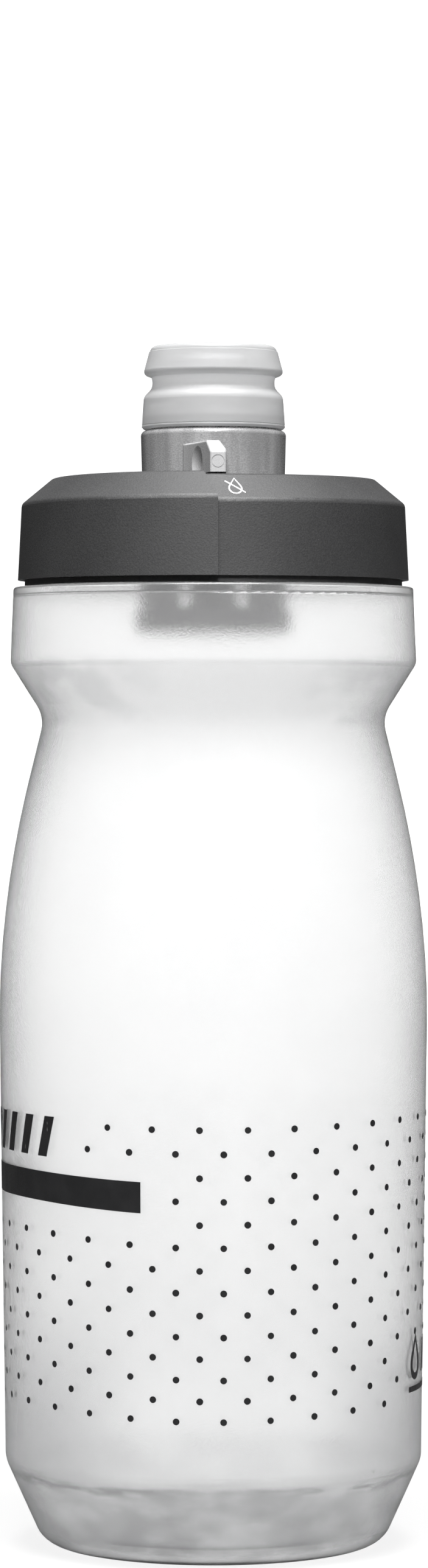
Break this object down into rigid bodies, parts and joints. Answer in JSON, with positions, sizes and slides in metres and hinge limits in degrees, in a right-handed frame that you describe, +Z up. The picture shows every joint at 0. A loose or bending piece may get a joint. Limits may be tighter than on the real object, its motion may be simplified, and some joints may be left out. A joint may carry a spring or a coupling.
{
  "type": "cycling water bottle",
  "caption": "Translucent squeeze bottle with a waisted shoulder for a bicycle cage, screw lid, twist-lock nozzle with lever and a soft bite valve.",
  "frame": {"origin": "on the bottle's axis, in the plane of the ring it stands on", "axes": "+Z up along the bottle's axis; -Y is the side with the lock lever and the locked mark; +X is to the right seen from that side"},
  "size_m": [0.073, 0.073, 0.2042],
  "materials": {
    "translucent_polypropylene": "satin translucent",
    "charcoal_plastic": "fine grain",
    "seal_silicone": "soft matt",
    "oring_rubber": "smooth",
    "clear_grey_plastic": "fine textured translucent",
    "valve_silicone": "frosted silicone"
  },
  "bodies": {
    "bottle": {"bottle_body": "translucent_polypropylene"},
    "seal_ring": {"lid_seal": "seal_silicone"},
    "lid": {"lid_shell": "charcoal_plastic", "shutoff_seal": "seal_silicone"},
    "oring": {"stem_oring": "oring_rubber"},
    "nozzle": {"nozzle_base": "clear_grey_plastic"},
    "valve": {"bite_valve": "valve_silicone"}
  },
  "joints": [
    {"name": "lid_lift", "type": "slide", "parent": "bottle", "child": "seal_ring", "axis": [0, 0, 1], "range_m": [0, 0.021]},
    {"name": "lid_turn", "type": "hinge", "parent": "seal_ring", "child": "lid", "pos_m": [0, 0, 0.172], "axis": [0, 0, 1], "range_deg": [0, 840]},
    {"name": "nozzle_rise", "type": "slide", "parent": "lid", "child": "oring", "axis": [0, 0, 1], "range_m": [0, 0.0025]},
    {"name": "nozzle_turn", "type": "hinge", "parent": "oring", "child": "nozzle", "pos_m": [0, 0, 0.185], "axis": [0, 0, 1], "range_deg": [0, 90]},
    {"name": "valve_pull", "type": "slide", "parent": "nozzle", "child": "valve", "axis": [0, 0, 1], "range_m": [0, 0.012]}
  ],
  "couplings": [
    {"joint": "lid_lift", "follows": "lid_turn", "m_per_rad": 0.0014324},
    {"joint": "nozzle_rise", "follows": "nozzle_turn", "m_per_rad": 0.0015915}
  ]
}
